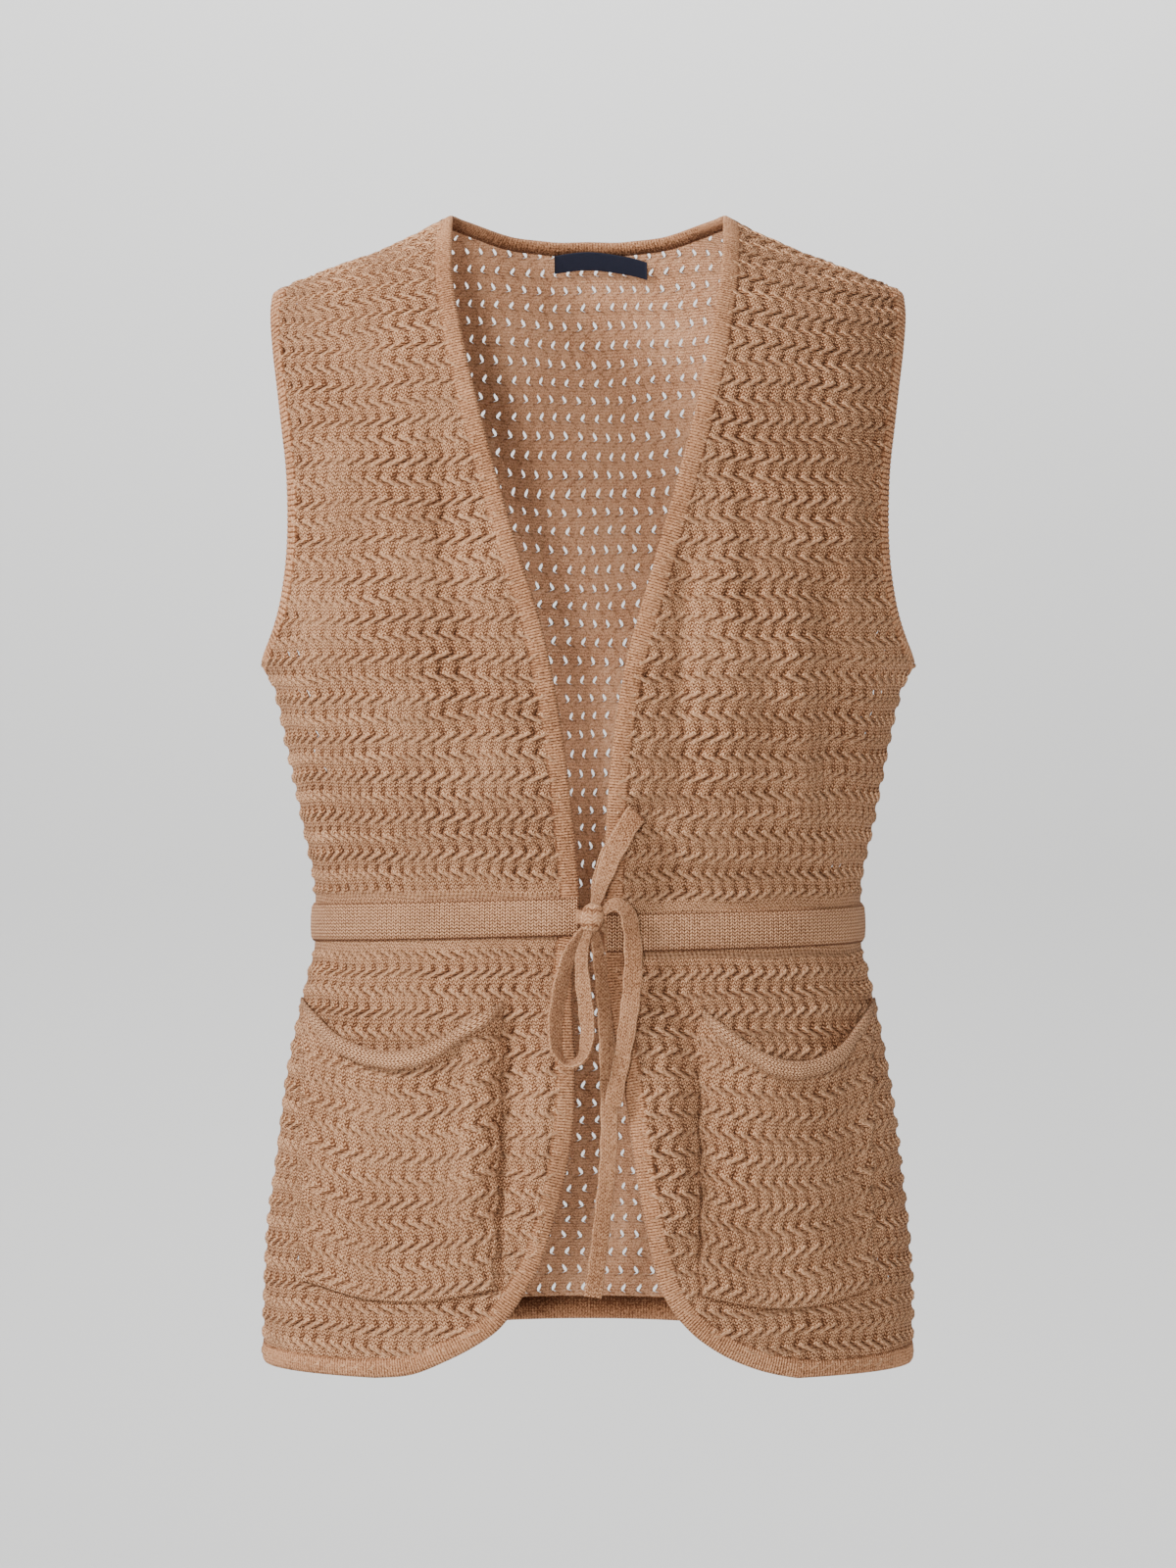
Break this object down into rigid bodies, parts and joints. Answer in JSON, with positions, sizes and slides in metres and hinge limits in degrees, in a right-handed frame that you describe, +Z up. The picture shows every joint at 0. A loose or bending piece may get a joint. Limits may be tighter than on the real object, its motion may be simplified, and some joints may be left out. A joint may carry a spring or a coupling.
{
  "type": "tie-front knit vest",
  "caption": "Sleeveless cabled eyelet knit vest with a V front, ribbed bands, patch pockets and a waist casing tied in a bow, worn and hollow.",
  "frame": {"origin": "midway between the two shoulder seams, at the middle of their height, where the wearer's shoulders carry the vest", "axes": "+Z up, the front faces -Y, the wearer's left is +X"},
  "size_m": [0.3924, 0.2277, 0.6886],
  "materials": {
    "knit": "matt camel cotton yarn in raised slanted cables with small eyelets",
    "rib": "matt camel fine rib",
    "tie": "matt camel plain knit, flat",
    "label": "dark navy woven tape, blank"
  },
  "bodies": {
    "root": {"back_panel": "knit", "front_right": "knit", "front_left": "knit", "pocket_right": "knit", "pocket_left": "knit", "front_band_right": "rib", "front_band_left": "rib", "neck_band": "rib", "hem_band": "rib", "armhole_band_right": "rib", "armhole_band_left": "rib", "waist_casing": "rib", "tie_root_right": "tie", "tie_root_left": "tie", "tie_knot": "tie", "tie_ear": "tie", "tie_loop": "tie", "tie_tail_short": "tie", "tie_tail_long": "tie", "neck_label": "label"}
  },
  "joints": []
}
